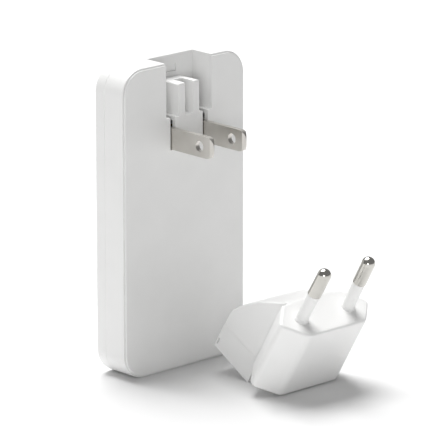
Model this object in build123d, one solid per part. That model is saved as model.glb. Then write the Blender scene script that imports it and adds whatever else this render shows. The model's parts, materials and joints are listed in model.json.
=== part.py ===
"""Flat USB wall charger with folding flat prongs, and the round-pin adapter that slides over them.

The charger stands on its bottom edge. +Z is up, +X runs across the width, and -Y points out of the
back face, the way the prongs point. The origin is the centre of the bottom edge. Millimetres.
The adapter is built seated on the charger's back, then laid down on the table behind it.
"""
from build123d import *
from math import atan2, degrees
import os

# Casing
body_width = 47.6
body_depth = 12.6
body_height = 92.0
corner_radius = 7.6
cover_depth = 4.3           # front face to the seam with the frame
front_wall = 1.5
side_wall = 1.6
plate_thickness = 1.4
rim_width = 0.45            # frame rim that shows round the back plate
rim_step = 0.5              # that rim lies this far below the back face
cover_edge_radius = 1.0
lap_height = 0.9            # lip of the frame that locates the front cover
lap_width = 0.7
shell_gap = 0.05            # between mouldings that close on each other

# Notch at the top of the back, with the channelled post in it
notch_offset = 1.63         # the notch and the prongs sit this far to +X of the centre
notch_width = 17.9
notch_height = 16.25
notch_wall = 1.2
post_width = 7.9
post_height = 9.6
fin_thickness = 2.3
channel_depth = 4.8
post_edge_radius = 0.6
recess_width = 5.2          # latch recess in the notch's inner wall
recess_height = 2.3
recess_depth = 0.5
recess_drop = 4.1           # its centre below the top of the charger

# Folding flat prongs
blade_width = 6.35
blade_thickness = 1.5
blade_spacing = 12.7
blade_reach = 17.2          # out of the back face
blade_hole_radius = 1.6
blade_hole_distance = 11.9  # from the back face
blade_tip_round = 1.4
blade_tip_bevel = 0.45
pivot_depth = 4.15          # pivot in from the back face
tip_margin = 1.05           # folded tips stop this far below the top
slot_clearance = 0.25
barrel_radius = 2.3
axle_radius = 1.6
axle_clearance = 0.05
key_side = 2.2              # square of the carrier moulded through each blade
collar_length = 0.4
side_play = 0.1
bearing_length = 1.8
bearing_height = 6.0
retainer_depth = 2.6
detent_flat_depth = 0.25
contact_clearance = 0.08
sheet_metal = 0.4

# Board and ports
board_thickness = 1.2
board_face_y = 1.3          # the side that carries the parts
board_margin = 0.6          # to the frame's inside wall
board_bottom = 2.4
board_top_gap = 1.9         # below the prong hubs
usb_a_size = (13.1, 5.7, 14.0)
usb_a_centre = -8.0
usb_c_size = (8.94, 3.26, 7.35)
usb_c_centre = 8.5
usb_shell_wall = 0.3
port_inset = 0.3            # port mouths lie this far inside the bottom face
port_clearance = 0.1
film_thickness = 0.25
film_gap = 0.05
spreader_thickness = 0.8
spreader_margin = 6.0       # spreader narrower than the board on each side
pad_size = (22.0, 26.0)
rail_size = 1.0
cover_stud_radius = 1.6     # studs in the cover that hold the board back

# Parts on the board: width, height off the board, length
core_size = (22.0, 5.6, 19.0)
core_leg = (6.0, 2.4)
core_window = (16.4, 13.0)
core_flange = 0.8
coil_corner = 1.2
choke_radius = 4.2
choke_bore = 1.9
choke_length = 4.0
wire_build = 0.6            # winding thickness on the choke and the bobbin wall
input_can = (2.85, 20.0)    # radius, length
output_can = (2.7, 9.0)
can_pitch = 6.2
rectifier_size = (6.0, 2.2, 7.0)
fuse_radius = 1.6
fuse_cap_radius = 1.8
fuse_length = 9.4
fuse_cap_length = 2.0
x_capacitor_size = (9.5, 5.4, 11.0)
y_capacitor_radius = 2.6
y_capacitor_width = 2.2
controller_size = (5.0, 1.5, 4.0)
rectifier_driver_size = (4.0, 1.2, 4.0)
optocoupler_size = (4.6, 2.2, 5.2)
transistor_size = (5.2, 2.3, 6.4)
transformer_row = 33.0      # rows of parts above the board's bottom edge
chip_row = 18.6
output_row = 8.0
supply_row = 13.5           # rows below its top edge
choke_row = 8.0

# Port insides
plug_root = (3.2, 2.0)      # length of the moulding behind the tongue, type A and type C
usb_a_tongue_size = (11.1, 1.9)
usb_a_tongue_gap = 0.8      # tongue to the shell's board side
usb_a_contact_x = (-3.5, -1.0, 1.0, 3.5)
usb_a_contact_size = (1.0, 0.25)
usb_c_tongue_size = (6.7, 0.7)
usb_c_contact_pitch = 1.1
usb_c_contact_size = (0.5, 0.1)
usb_c_leg_size = (0.6, 1.0)

# Round-pin adapter
prism_length = 24.1
hex_width = 36.0
hex_height = 13.4
hex_corner_round = 1.6
block_width = 18.0
block_rise = 0.1            # adapter's top above the charger's top when seated
shell_wall = 2.0
block_wall = 1.2
shoulder_rise = 0.3         # flat rim above the hexagon on the pin face
slope_bulge = (8.4, 7.0)    # middle of the sloping top: back from the face, below the top
crest_length = 5.9          # level stretch between the slope and the seat
block_edge_radius = 0.8
adapter_drop = 7.2          # middle of the hexagon below the notch floor
seat_gap = 0.15
tongue_clearance = 0.2
rib_width = 2.6
rib_depth = 3.0
pocket_width = 3.0
slit_width = 0.4            # vent slit high on each side of the tongue
slit_reach = (5.0, 7.0)     # from the seat
slit_drop = 0.7             # below the tongue's top
slit_depth = 0.8
latch_height = 0.35
cap_rim = 1.2
cap_thickness = 1.7
cap_groove = 0.12
cap_boss_radius = 3.2
cap_boss_length = 6.0
pin_radius = 2.0
pin_length = 19.0
sleeve_length = 9.5
sleeve_radius = 1.83
pin_core_radius = 1.5
pin_base_spacing = 18.6
pin_tip_spacing = 17.5
pin_tail = 9.0
rear_cover_thickness = 1.6
rear_cover_gap = 0.1
strap_margin = 0.8          # metal round the pin's tail in the contact strap
adapter_x = 11.0            # where the adapter lies
adapter_floor_y = -46.4     # its near bottom edge on the table

# Places that follow from the sizes
front_y = body_depth / 2
back_y = -body_depth / 2
seam_y = front_y - cover_depth
cover_inside_y = front_y - front_wall
plate_inside_y = back_y + plate_thickness
rim_y = back_y + rim_step
inside_half_width = body_width / 2 - side_wall
notch_floor_z = body_height - notch_height
post_top_z = notch_floor_z + post_height
recess_z = body_height - recess_drop
pivot_y = back_y + pivot_depth
blade_length = pivot_depth + blade_reach
pivot_z = body_height - tip_margin - blade_length
hub_radius = blade_width / 2
slot_width = blade_thickness + 2 * slot_clearance
slot_bottom_z = pivot_z - hub_radius - slot_clearance
slot_inner_y = pivot_y + hub_radius + slot_clearance
board_back_y = board_face_y + board_thickness
board_top_z = pivot_z - hub_radius - board_top_gap
board_half_width = inside_half_width - board_margin
port_y = board_face_y - usb_a_size[1] / 2
seat_y = back_y - seat_gap
face_y = seat_y - prism_length
hex_z = notch_floor_z - adapter_drop
adapter_top_z = body_height + block_rise
tongue_width = notch_width - 2 * tongue_clearance
tongue_inner_y = seam_y - tongue_clearance
tongue_bottom_z = notch_floor_z + seat_gap
sides = {"left": -1, "right": 1}


def block(x, y, z):
    """A block between three pairs of limits."""
    centre = Pos((x[0] + x[1]) / 2, (y[0] + y[1]) / 2, (z[0] + z[1]) / 2)
    return centre * Box(x[1] - x[0], y[1] - y[0], z[1] - z[0])


def about(centre, width):
    """The two limits of a width about a centre."""
    return (centre - width / 2, centre + width / 2)


def slab(outline, y):
    """An XZ outline carried from one depth to another."""
    return extrude(Plane.XZ.offset(-y[1]) * outline, y[1] - y[0])


def body_outline(inset):
    """The casing's outline, drawn in by an inset."""
    width = body_width - 2 * inset
    height = body_height - 2 * inset
    return Pos(0, body_height / 2) * RectangleRounded(width, height, corner_radius - inset)


def rod_x(radius, x, y, z):
    """A round bar along X between two limits."""
    return Pos((x[0] + x[1]) / 2, y, z) * Rot(0, 90, 0) * Cylinder(radius, x[1] - x[0])


def rod_y(radius, x, y, z):
    """A round bar along Y between two limits."""
    return Pos(x, (y[0] + y[1]) / 2, z) * Rot(90, 0, 0) * Cylinder(radius, y[1] - y[0])


def rod_z(radius, x, y, z):
    """A round bar along Z between two limits."""
    return Pos(x, y, (z[0] + z[1]) / 2) * Cylinder(radius, z[1] - z[0])


def strip(points, x, thickness=sheet_metal):
    """Sheet metal that runs through YZ points and is as wide as the X limits."""
    path = trace(Polyline(*points), thickness)
    return extrude(Plane.YZ.offset(x[0]) * path, x[1] - x[0])


# ---------------------------------------------------------------- casing

def front_cover():
    """Tray that closes the front, with the pad that closes the notch."""
    tray = slab(body_outline(0), (seam_y, front_y))
    tray = fillet(tray.edges().group_by(Axis.Y)[-1], cover_edge_radius)
    tray -= slab(body_outline(side_wall), (seam_y, cover_inside_y))
    tray -= slab(body_outline(side_wall - lap_width - shell_gap), (seam_y, seam_y + lap_height + shell_gap))
    pad_x = about(notch_offset, notch_width + 2 * notch_wall)
    pad_z = (notch_floor_z - notch_wall, body_height - side_wall / 2)
    pad = block(pad_x, (seam_y, cover_inside_y), pad_z)
    hollow_x = about(notch_offset, notch_width)
    hollow_z = (notch_floor_z - notch_wall, body_height - 2 * side_wall)
    pad -= block(hollow_x, (seam_y + front_wall, cover_inside_y), hollow_z)
    recess_x = about(notch_offset, recess_width)
    pad -= block(recess_x, (seam_y, seam_y + recess_depth), about(recess_z, recess_height))
    for x in (-board_half_width + 3, board_half_width - 3):
        for z in (board_bottom + 16, board_top_z - 4):
            tray += rod_y(cover_stud_radius, x, (board_back_y, cover_inside_y), z)
    return tray + pad


def mid_frame():
    """Band between the cover and the plate, with the notch's two side walls and the port openings."""
    band = slab(body_outline(0), (rim_y, seam_y))
    band -= slab(body_outline(side_wall), (plate_inside_y, seam_y))
    band -= slab(body_outline(rim_width), (rim_y, plate_inside_y))
    lip = slab(body_outline(side_wall - lap_width), (seam_y, seam_y + lap_height))
    lip -= slab(body_outline(side_wall), (seam_y, seam_y + lap_height))
    wall_z = (notch_floor_z - notch_wall, body_height - side_wall / 2)
    walls = block(about(notch_offset, notch_width + 2 * notch_wall), (plate_inside_y, seam_y), wall_z)
    lip -= block(about(notch_offset, notch_width + 2 * notch_wall + 2 * shell_gap), (seam_y, front_y),
                 (notch_floor_z, body_height))
    for sign in sides.values():
        rail_x = sorted((sign * inside_half_width, sign * (inside_half_width - board_margin - rail_size)))
        band += block(rail_x, (board_face_y - rail_size, board_face_y), (board_bottom + 18, board_top_z - 2))
    band += walls + lip
    band -= block(about(notch_offset, notch_width), (back_y, seam_y), (wall_z[0], body_height))
    ports = ((usb_a_centre, usb_a_size, 0.6), (usb_c_centre, usb_c_size, usb_c_size[1] / 2))
    for centre, size, corner in ports:
        width = size[0] + 2 * port_clearance
        height = size[1] + 2 * port_clearance
        opening = Pos(centre, port_y) * RectangleRounded(width, height, corner)
        band -= extrude(opening, side_wall + shell_gap)
    return band


def back_plate():
    """Back face with the notch floor, the channelled post, the prong slots and the bearing saddles."""
    plate = slab(body_outline(rim_width + shell_gap), (back_y, plate_inside_y))
    plate = chamfer(plate.edges().group_by(Axis.Y)[0], rim_step - shell_gap)
    plate -= block(about(notch_offset, notch_width), (back_y, plate_inside_y), (notch_floor_z, body_height))
    floor_x = about(notch_offset, notch_width - 2 * shell_gap)
    inner_y = seam_y - shell_gap
    plate += block(floor_x, (back_y, inner_y), (notch_floor_z - notch_wall, notch_floor_z))
    post = block(about(notch_offset, post_width), (back_y, inner_y), (notch_floor_z - notch_wall, post_top_z))
    top_edges = post.edges().filter_by(Axis.Y).group_by(Axis.Z)[-1]
    rear_edge = post.edges().filter_by(Axis.X).group_by(Axis.Z)[-1].group_by(Axis.Y)[0]
    post = fillet(top_edges + rear_edge, post_edge_radius)
    channel_x = about(notch_offset, post_width - 2 * fin_thickness)
    post -= block(channel_x, (back_y, back_y + channel_depth), (notch_floor_z, post_top_z))
    plate += post
    for sign in sides.values():
        centre = notch_offset + sign * blade_spacing / 2
        slot_z = (slot_bottom_z, notch_floor_z)
        plate -= block(about(centre, slot_width), (back_y, slot_inner_y), slot_z)
        plate += block(bearing_x(sign), (plate_inside_y, pivot_y), about(pivot_z, bearing_height))
    return plate - bearing_bore()


def bearing_x(sign):
    """Where a bearing saddle stands, outside the prong on that side."""
    near = blade_spacing / 2 + blade_thickness / 2 + collar_length + side_play
    return sorted((notch_offset + sign * near, notch_offset + sign * (near + bearing_length)))


def bearing_bore():
    """The bore that the prong axle turns in."""
    return rod_x(axle_radius + axle_clearance, about(notch_offset, body_width), pivot_y, pivot_z)


def axle_retainer(sign):
    """Cap that holds the axle down in its saddle."""
    cap = block(bearing_x(sign), (pivot_y + shell_gap, pivot_y + retainer_depth), about(pivot_z, bearing_height))
    return cap - bearing_bore()


# ---------------------------------------------------------------- folding prongs

def prong_carrier():
    """Moulded axle that joins the two prongs, with a flat for each detent position."""
    blade_inner = blade_spacing / 2 - blade_thickness / 2
    blade_outer = blade_inner + blade_thickness
    end = blade_outer + collar_length + side_play + bearing_length
    barrel = rod_x(barrel_radius, about(notch_offset, 2 * blade_inner), pivot_y, pivot_z)
    flat = barrel_radius - detent_flat_depth
    flat_x = about(notch_offset, blade_inner)
    barrel -= block(flat_x, (pivot_y + flat, pivot_y + barrel_radius), about(pivot_z, 2 * barrel_radius))
    barrel -= block(flat_x, about(pivot_y, 2 * barrel_radius), (pivot_z + flat, pivot_z + barrel_radius))
    key = about(0, key_side)
    carrier = barrel + block(about(notch_offset, 2 * blade_outer), (pivot_y + key[0], pivot_y + key[1]),
                             (pivot_z + key[0], pivot_z + key[1]))
    for sign in sides.values():
        collar = sorted((notch_offset + sign * blade_outer, notch_offset + sign * (blade_outer + collar_length)))
        stub = sorted((notch_offset + sign * blade_outer, notch_offset + sign * end))
        carrier += rod_x(barrel_radius, collar, pivot_y, pivot_z) + rod_x(axle_radius, stub, pivot_y, pivot_z)
    return carrier


def prong_blade(sign):
    """Flat prong with a round hub, a bevelled tip and the usual hole."""
    centre = notch_offset + sign * blade_spacing / 2
    tip_y = pivot_y - blade_length
    z = about(pivot_z, blade_width)
    blade = block(about(centre, blade_thickness), (tip_y, pivot_y), z)
    blade = fillet(blade.edges().filter_by(Axis.X).group_by(Axis.Y)[0], blade_tip_round)
    blade = chamfer(blade.faces().sort_by(Axis.Y)[0].edges().filter_by(Axis.Z), blade_tip_bevel)
    blade += rod_x(hub_radius, about(centre, blade_thickness), pivot_y, pivot_z)
    blade -= rod_x(blade_hole_radius, about(centre, 2 * blade_thickness), back_y - blade_hole_distance, pivot_z)
    key = block(about(centre, 2 * blade_thickness), about(pivot_y, key_side), about(pivot_z, key_side))
    return blade - key


def supply_contact(sign):
    """Leaf that stands on the board and presses under a prong's hub."""
    centre = notch_offset + sign * blade_spacing / 2
    half = sheet_metal / 2
    foot_y = board_face_y - half
    tip_z = pivot_z - hub_radius - contact_clearance - half
    points = [(foot_y, board_top_z - 7), (foot_y, board_top_z - 3), (pivot_y, tip_z), (pivot_y - 1.6, tip_z)]
    return strip(points, about(centre, 1.4))


def detent_spring():
    """Leaf spring that stands on the board behind the carrier's flats."""
    half = sheet_metal / 2
    foot_y = board_face_y - half
    press_y = pivot_y + barrel_radius + contact_clearance + half
    points = [(foot_y, board_top_z - 6), (foot_y, board_top_z - 1), (press_y, pivot_z - 2), (press_y, pivot_z + 2)]
    return strip(points, about(notch_offset, blade_spacing / 3))


# ---------------------------------------------------------------- board and what stands on it

def on_board(x, z, size):
    """A block on the component side of the board: centre x, centre z, (width, height, length)."""
    return block(about(x, size[0]), (board_face_y - size[1], board_face_y), about(z, size[2]))


def can_on_board(x, z, radius, length):
    """A round can that lies along Z on the component side."""
    return rod_z(radius, x, board_face_y - radius, about(z, length))


def inner_sheet(y, top_z):
    """A sheet inside the casing: square at the top, rounded to the casing at the bottom."""
    sheet = block(about(0, 2 * board_half_width), y, (board_bottom, top_z))
    corners = sheet.edges().filter_by(Axis.Y).group_by(Axis.Z)[0]
    return fillet(corners, corner_radius - side_wall - board_margin)


def main_board():
    """The printed circuit board."""
    return inner_sheet((board_face_y, board_back_y), board_top_z)


def transformer():
    """Low transformer: split core, bobbin and winding, on the lower middle of the board."""
    x = -board_half_width + core_size[0] / 2 + 2 * core_flange
    z = board_bottom + transformer_row
    middle_y = board_face_y - core_size[1] / 2
    window_z = about(z, core_window[1])
    core = on_board(x, z, core_size)
    core -= block(about(x, core_window[0]), about(middle_y, 2 * core_size[1]), window_z)
    leg = block(about(x, core_leg[0]), about(middle_y, core_leg[1]), window_z)
    tube = block(about(x, core_leg[0] + 2 * wire_build), about(middle_y, core_leg[1] + 2 * wire_build), window_z)
    bobbin = tube
    for end in (-1, 1):
        flange_z = about(z + end * (core_window[1] - core_flange) / 2, core_flange)
        flange_x = about(x, core_window[0] - core_flange / 2)
        bobbin += block(flange_x, about(middle_y, core_size[1] - wire_build), flange_z)
    coil_x = about(x, core_window[0] - 2 * wire_build)
    coil = block(coil_x, about(middle_y, core_size[1] - core_flange), about(z, core_window[1] - 2 * core_flange))
    coil = fillet(coil.edges().filter_by(Axis.Z), coil_corner)
    return {"transformer_core": core + leg, "transformer_bobbin": bobbin - leg, "transformer_winding": coil - tube}


def emi_choke():
    """Toroidal choke that lies flat near the top of the board."""
    x = -board_half_width + choke_radius + 2.0
    z = board_top_z - choke_row
    y = (board_face_y - wire_build - choke_length, board_face_y - wire_build)
    wrap_y = (y[0] - wire_build, y[1] + wire_build)
    ring = rod_y(choke_radius, x, y, z) - rod_y(choke_bore, x, y, z)
    wrap = rod_y(choke_radius + wire_build, x, wrap_y, z) - rod_y(choke_bore - wire_build, x, wrap_y, z)
    gap = block(about(x, 2.0), wrap_y, about(z, 3 * choke_radius))
    lanes = block(about(x, 3 * choke_radius), wrap_y, about(z, choke_radius + choke_bore))
    return {"emi_choke_core": ring, "emi_choke_winding": (wrap & lanes) - gap - ring}


def board_parts():
    """Everything else soldered to the board."""
    left = -board_half_width
    right = board_half_width
    supply_z = board_top_z - supply_row
    chip_z = board_bottom + chip_row
    cans = [can_on_board(right - 3.2 - can_pitch * row, board_bottom + transformer_row, *input_can) for row in range(3)]
    ends = [can_on_board(x, board_bottom + output_row, *output_can) for x in (left + 3.2, right - 3.2)]
    fuse_place = (right - 15.5, board_face_y - fuse_cap_radius)
    fuse = rod_z(fuse_radius, *fuse_place, about(supply_z, fuse_length))
    for end in (-1, 1):
        cap_z = about(supply_z + end * (fuse_length - fuse_cap_length) / 2, fuse_cap_length)
        fuse += rod_z(fuse_cap_radius, *fuse_place, cap_z)
    film_box = on_board(right - 6.0, board_top_z - 8.5, x_capacitor_size)
    disc_y = board_face_y - y_capacitor_radius - 0.2
    chips = [on_board(left + 10.0, chip_z, controller_size), on_board(right - 5.0, chip_z, rectifier_driver_size)]
    switches = [on_board(x, chip_z, transistor_size) for x in (left + 24.5, left + 31.5)]
    return {
        "input_capacitors": Compound(children=cans),
        "output_capacitors": Compound(children=ends),
        "bridge_rectifier": on_board(left + 17.1, supply_z, rectifier_size),
        "fuse": fuse,
        "x_capacitor": fillet(film_box.edges(), 0.3),
        "y_capacitor": rod_x(y_capacitor_radius, about(left + 4.5, y_capacitor_width), disc_y, chip_z),
        "controller_chips": Compound(children=chips),
        "optocoupler": on_board(left + 17.0, chip_z, optocoupler_size),
        "power_transistors": Compound(children=switches),
    }


def heat_path():
    """Soft pad and aluminium sheet that carry the board's heat to the front, and the film behind the parts."""
    spreader_y = (cover_inside_y - spreader_thickness, cover_inside_y)
    sheet_x = about(0, 2 * (board_half_width - spreader_margin))
    sheet_z = (board_bottom + spreader_margin, board_top_z - 1)
    pad_z = about(board_bottom + transformer_row, pad_size[1])
    pad = block(about(0, pad_size[0]), (board_back_y, spreader_y[0]), pad_z)
    film_y = (plate_inside_y + film_gap, plate_inside_y + film_gap + film_thickness)
    film = inner_sheet(film_y, slot_bottom_z - 1.2)
    return {"heat_spreader": block(sheet_x, spreader_y, sheet_z), "thermal_pad": pad, "insulating_film": film}


def usb_a_port():
    """Type A port: folded steel shell, plastic tongue and four contacts."""
    width, height, length = usb_a_size
    z = (port_inset, port_inset + length)
    root_z = (z[1] - plug_root[0], z[1] - usb_shell_wall)
    inner_x = about(usb_a_centre, width - 2 * usb_shell_wall)
    inner_y = about(port_y, height - 2 * usb_shell_wall)
    shell = block(about(usb_a_centre, width), about(port_y, height), z)
    shell = fillet(shell.edges().filter_by(Axis.Z), 0.5)
    shell -= block(inner_x, inner_y, (z[0], root_z[1]))
    root = block(inner_x, inner_y, root_z)
    tongue_y = (inner_y[1] - usb_a_tongue_gap - usb_a_tongue_size[1], inner_y[1] - usb_a_tongue_gap)
    tongue = root + block(about(usb_a_centre, usb_a_tongue_size[0]), tongue_y, (z[0] + 1.2, root_z[0]))
    strip_width, strip_height = usb_a_contact_size
    strip_y = (tongue_y[0] - strip_height, tongue_y[0])
    strips = [block(about(usb_a_centre + x, strip_width), strip_y, (z[0] + 2, root_z[0])) for x in usb_a_contact_x]
    return {"usb_a_shell": shell, "usb_a_tongue": tongue, "usb_a_contacts": Compound(children=strips)}


def usb_c_port():
    """Type C port: drawn shell on four legs, central tongue and its contact rows."""
    width, height, length = usb_c_size
    z = (port_inset, port_inset + length)
    root_z = z[1] - plug_root[1]
    outline = Pos(usb_c_centre, port_y) * RectangleRounded(width, height, height / 2 - 0.01)
    bore_size = (width - 2 * usb_shell_wall, height - 2 * usb_shell_wall)
    bore = Pos(usb_c_centre, port_y) * RectangleRounded(*bore_size, bore_size[1] / 2 - 0.01)
    shell = Pos(0, 0, z[0]) * extrude(outline, length)
    shell -= Pos(0, 0, z[0]) * extrude(bore, length - usb_shell_wall)
    root = Pos(0, 0, root_z) * extrude(bore, plug_root[1] - usb_shell_wall)
    tongue_width, tongue_height = usb_c_tongue_size
    tongue = root + block(about(usb_c_centre, tongue_width), about(port_y, tongue_height), (z[0] + 0.8, root_z))
    leg_width, leg_length = usb_c_leg_size
    for end in (-1, 1):
        for leg_z in (z[0] + 2.9, z[1] - leg_length):
            leg_x = about(usb_c_centre + end * (width / 2 - 1.3), leg_width)
            shell += block(leg_x, (port_y + height / 2 - 0.1, board_face_y), about(leg_z, leg_length))
    contact_width, contact_height = usb_c_contact_size
    rows = []
    for face in (-1, 1):
        row_y = sorted((port_y + face * tongue_height / 2, port_y + face * (tongue_height / 2 + contact_height)))
        for column in range(6):
            row_x = about(usb_c_centre + usb_c_contact_pitch * (column - 2.5), contact_width)
            rows.append(block(row_x, row_y, (z[0] + 1.4, root_z)))
    return {"usb_c_shell": shell, "usb_c_tongue": tongue, "usb_c_contacts": Compound(children=rows)}


# ---------------------------------------------------------------- round-pin adapter, seated

def hexagon(inset):
    """The pin face's outline: flat top and bottom, 45 degree ends."""
    half_width = hex_width / 2 - inset * 2 ** 0.5
    half_height = hex_height / 2 - inset
    flat = half_width - half_height
    corners = [(half_width, 0), (flat, half_height), (-flat, half_height),
               (-half_width, 0), (-flat, -half_height), (flat, -half_height)]
    outline = Polygon(*corners, align=None)
    return Pos(notch_offset, hex_z) * fillet(outline.vertices(), hex_corner_round - inset / 2)


def upper_block(inset, rear_y):
    """The part of the adapter above the hexagon, under its long rounded slope."""
    shoulder = (face_y, hex_z + hex_height / 2 + shoulder_rise)
    middle = (face_y + slope_bulge[0], adapter_top_z - slope_bulge[1])
    crest = (seat_y - crest_length, adapter_top_z)
    floor = hex_z - hex_height / 4
    profile = ThreePointArc(shoulder, middle, crest)
    profile += Polyline(crest, (rear_y, adapter_top_z), (rear_y, floor), (face_y, floor), shoulder)
    face = make_face(profile)
    if inset:
        face = offset(face, -inset)
    width = block_width - 2 * inset
    return Pos(notch_offset - width / 2, 0, 0) * extrude(Plane.YZ * face, width)


def adapter_shell():
    """Outer moulding: hexagonal prism and sloping block, open at the rear, stepped for the pin cap."""
    prism = slab(hexagon(0), (face_y, seat_y))
    hood = upper_block(0, seat_y)
    slope_edges = [edge for edge in hood.edges() if edge.geom_type == GeomType.CIRCLE]
    hood = fillet(slope_edges, block_edge_radius)
    shell = prism + hood
    shell -= slab(hexagon(shell_wall), (face_y, seat_y))
    shell -= slab(hexagon(cap_rim), (face_y, face_y + cap_thickness + shell_gap))
    return shell - upper_block(block_wall, seat_y + 2 * block_wall)


def pin_place(sign):
    """Place and lean of a pin: local +Z runs out of the pin face."""
    lean = degrees(atan2((pin_base_spacing - pin_tip_spacing) / 2, pin_length))
    base = Pos(notch_offset + sign * pin_base_spacing / 2, face_y, hex_z)
    return base * Rot(90, 0, 0) * Rot(0, -sign * lean, 0)


def pin_bar(radius, low, high):
    """A round bar along a pin's own axis."""
    return Pos(0, 0, (low + high) / 2) * Cylinder(radius, high - low)


def adapter_pin_cap():
    """Hexagonal cap in the pin face, with a boss round the root of each pin."""
    cap = slab(hexagon(cap_rim + cap_groove), (face_y, face_y + cap_thickness))
    cap = chamfer(cap.edges().group_by(Axis.Y)[0], cap_groove)
    for sign in sides.values():
        place = pin_place(sign)
        boss = rod_y(cap_boss_radius, notch_offset + sign * pin_base_spacing / 2,
                     (face_y + cap_thickness / 2, face_y + cap_boss_length), hex_z)
        cap += boss
        cap -= place * pin_bar(sleeve_radius, -cap_boss_length / 2, pin_length)
        cap -= place * pin_bar(pin_core_radius, -2 * cap_boss_length, 0)
    return cap


def eu_pin(sign):
    """Round pin: thin core through the sleeve, full-size tip with a round end."""
    pin = pin_bar(pin_core_radius, -pin_tail, sleeve_length)
    pin += pin_bar(pin_radius, sleeve_length, pin_length - pin_radius)
    pin += Pos(0, 0, pin_length - pin_radius) * Sphere(pin_radius)
    return pin_place(sign) * pin


def pin_sleeve(sign):
    """Insulating sleeve on the root half of a pin."""
    bore = pin_bar(pin_core_radius, -cap_boss_length / 2, sleeve_length)
    return pin_place(sign) * (pin_bar(sleeve_radius, -cap_boss_length / 2, sleeve_length) - bore)


def adapter_rear_cover():
    """Plate that closes the rear, with the tongue that fills the notch round the post."""
    plate_y = (seat_y - rear_cover_thickness, seat_y)
    cover = slab(hexagon(shell_wall + rear_cover_gap), plate_y)
    upper_x = about(notch_offset, block_width - 2 * block_wall - 2 * rear_cover_gap)
    cover += block(upper_x, plate_y, (hex_z, adapter_top_z - block_wall - rear_cover_gap))
    tongue_x = about(notch_offset, tongue_width)
    tongue = block(tongue_x, (seat_y, tongue_inner_y), (tongue_bottom_z, adapter_top_z))
    cavity_top = post_top_z + tongue_clearance
    cavity_x = about(notch_offset, post_width + 2 * tongue_clearance)
    tongue -= block(cavity_x, (seat_y, tongue_inner_y), (tongue_bottom_z, cavity_top))
    tongue += block(about(notch_offset, rib_width), (seat_y, seat_y + rib_depth), (tongue_bottom_z, cavity_top))
    latch_y = (tongue_inner_y, tongue_inner_y + tongue_clearance + latch_height)
    latch_size = (recess_width - 2 * tongue_clearance, recess_height - 2 * tongue_clearance)
    latch = block(about(notch_offset, latch_size[0]), latch_y, about(recess_z, latch_size[1]))
    latch = chamfer(latch.faces().sort_by(Axis.Y)[-1].edges().filter_by(Axis.X), latch_height)
    cover += tongue + latch
    window_z = (post_top_z - 6, post_top_z)
    for sign in sides.values():
        centre = notch_offset + sign * blade_spacing / 2
        pocket_y = (pivot_y - hub_radius - slot_clearance, pivot_y + hub_radius + slot_clearance / 2)
        pocket_z = (tongue_bottom_z, body_height - tip_margin + slot_clearance)
        cover -= block(about(centre, pocket_width), pocket_y, pocket_z)
        cover -= block(about(centre, pocket_width), (plate_y[0], pocket_y[0]), window_z)
        cheek = tongue_width / 2
        slit_x = sorted((notch_offset + sign * (cheek - slit_depth), notch_offset + sign * cheek))
        slit_y = (seat_y + slit_reach[0], seat_y + slit_reach[1])
        cover -= block(slit_x, slit_y, about(adapter_top_z - slit_drop, slit_width))
    return cover


def adapter_contact(sign):
    """Spring clip for a folded prong, with the strap that carries on to the round pin."""
    centre = notch_offset + sign * blade_spacing / 2
    grip = blade_thickness / 2 + contact_clearance
    riser_y = (seat_y - rear_cover_thickness - sheet_metal - 0.2, seat_y - rear_cover_thickness - 0.2)
    foot_y = (face_y + cap_boss_length + 1.2, face_y + cap_boss_length + 1.2 + sheet_metal)
    level = hex_z + pin_core_radius + strap_margin
    riser_x = about(centre, 2 * grip + 2 * sheet_metal)
    contact = block(riser_x, riser_y, (level, post_top_z - 0.4))
    for side in (-1, 1):
        leaf_x = sorted((centre + side * grip, centre + side * (grip + sheet_metal)))
        contact += block(leaf_x, (riser_y[0], pivot_y), (post_top_z - 5.6, post_top_z - 0.4))
    contact += block(riser_x, (foot_y[0], riser_y[1]), (level, level + sheet_metal))
    tail_depth = foot_y[0] - face_y
    lean = (pin_base_spacing - pin_tip_spacing) / 2 / pin_length
    tail_x = notch_offset + sign * (pin_base_spacing / 2 + tail_depth * lean)
    foot_x = sorted((centre - sign * (grip + sheet_metal), tail_x + sign * (pin_core_radius + strap_margin)))
    contact += block(foot_x, foot_y, (hex_z - pin_core_radius - strap_margin, level + sheet_metal))
    return contact - pin_place(sign) * pin_bar(pin_core_radius + axle_clearance, -2 * pin_tail, 0)


def lying_down():
    """The move from the seat to the table: it rests on the prism's edge and the tongue's lower corner."""
    tongue_depth = tongue_inner_y - seat_y
    edge_to_corner = hex_height / 2 + tongue_bottom_z - hex_z
    tilt = degrees(atan2(tongue_depth, edge_to_corner))
    turn = Rot(-(90 - tilt), 0, 0)
    edge = turn * Pos(notch_offset, seat_y, hex_z - hex_height / 2)
    shift = (adapter_x - notch_offset, adapter_floor_y - edge.position.Y, -edge.position.Z)
    return Pos(*shift) * turn


# ---------------------------------------------------------------- assembly

nodes = {"front_cover": front_cover(), "mid_frame": mid_frame(), "back_plate": back_plate()}
nodes["prong_carrier"] = prong_carrier()
nodes["detent_spring"] = detent_spring()
for side, sign in sides.items():
    nodes["axle_retainer_" + side] = axle_retainer(sign)
    nodes["prong_blade_" + side] = prong_blade(sign)
nodes["line_contact"] = supply_contact(-1)
nodes["neutral_contact"] = supply_contact(1)
nodes["main_board"] = main_board()
for group in (transformer(), emi_choke(), board_parts(), heat_path(), usb_a_port(), usb_c_port()):
    nodes.update(group)

adapter = {"adapter_shell": adapter_shell(), "adapter_pin_cap": adapter_pin_cap()}
adapter["adapter_rear_cover"] = adapter_rear_cover()
for side, sign in sides.items():
    adapter["eu_pin_" + side] = eu_pin(sign)
    adapter["pin_sleeve_" + side] = pin_sleeve(sign)
    adapter["adapter_contact_" + side] = adapter_contact(sign)
laid = lying_down()
nodes.update({name: laid * piece for name, piece in adapter.items()})

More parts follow.
